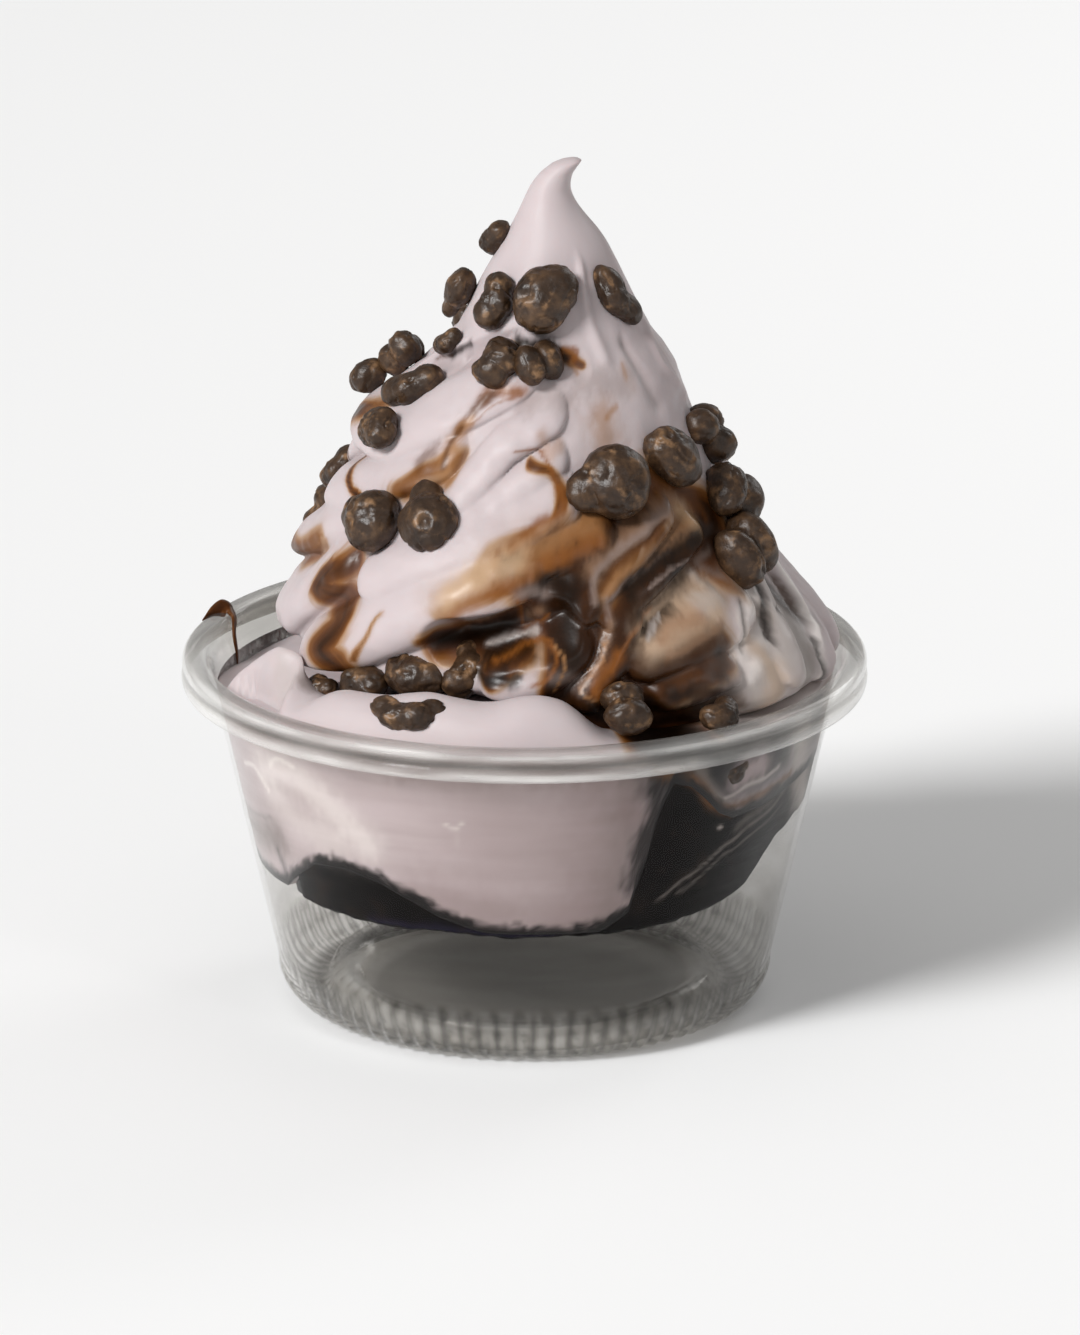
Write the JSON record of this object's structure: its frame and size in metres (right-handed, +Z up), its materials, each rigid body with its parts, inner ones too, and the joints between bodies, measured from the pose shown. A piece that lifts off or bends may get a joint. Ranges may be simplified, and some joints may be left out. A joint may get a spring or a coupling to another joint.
{
  "type": "brownie ice cream cup",
  "caption": "Clear round dessert cup with a dark brownie under soft ice cream that is swirled up to a curled tip, with chocolate sauce streaks and chocolate-coated nuggets.",
  "frame": {"origin": "Centre of the cup's foot ring, on the surface that it stands on.", "axes": "+Z up along the cup's axis. -Y is the front, the side that the picture shows. +X is to the viewer's right."},
  "size_m": [0.098, 0.098, 0.1233],
  "materials": {
    "clear_plastic": "clear thin-wall plastic",
    "brownie": "moist dark crumb",
    "ice_cream": "smooth, slightly glossy, streaked with chocolate sauce",
    "nugget": "satin chocolate coating"
  },
  "bodies": {
    "root": {"cup": "clear_plastic", "brownie": "brownie", "ice_cream": "ice_cream", "nugget_01": "nugget", "nugget_02": "nugget", "nugget_03": "nugget", "nugget_04": "nugget", "nugget_05": "nugget", "nugget_06": "nugget", "nugget_07": "nugget", "nugget_08": "nugget", "nugget_09": "nugget", "nugget_10": "nugget", "nugget_11": "nugget", "nugget_12": "nugget", "nugget_13": "nugget", "nugget_14": "nugget", "nugget_15": "nugget", "nugget_16": "nugget", "nugget_17": "nugget", "nugget_18": "nugget", "nugget_19": "nugget", "nugget_20": "nugget", "nugget_21": "nugget", "nugget_22": "nugget", "nugget_23": "nugget", "nugget_24": "nugget", "nugget_25": "nugget", "nugget_26": "nugget", "nugget_27": "nugget", "nugget_28": "nugget", "nugget_29": "nugget", "nugget_30": "nugget", "nugget_31": "nugget", "nugget_32": "nugget", "nugget_33": "nugget", "nugget_34": "nugget", "nugget_35": "nugget", "nugget_36": "nugget", "nugget_37": "nugget"}
  },
  "joints": []
}
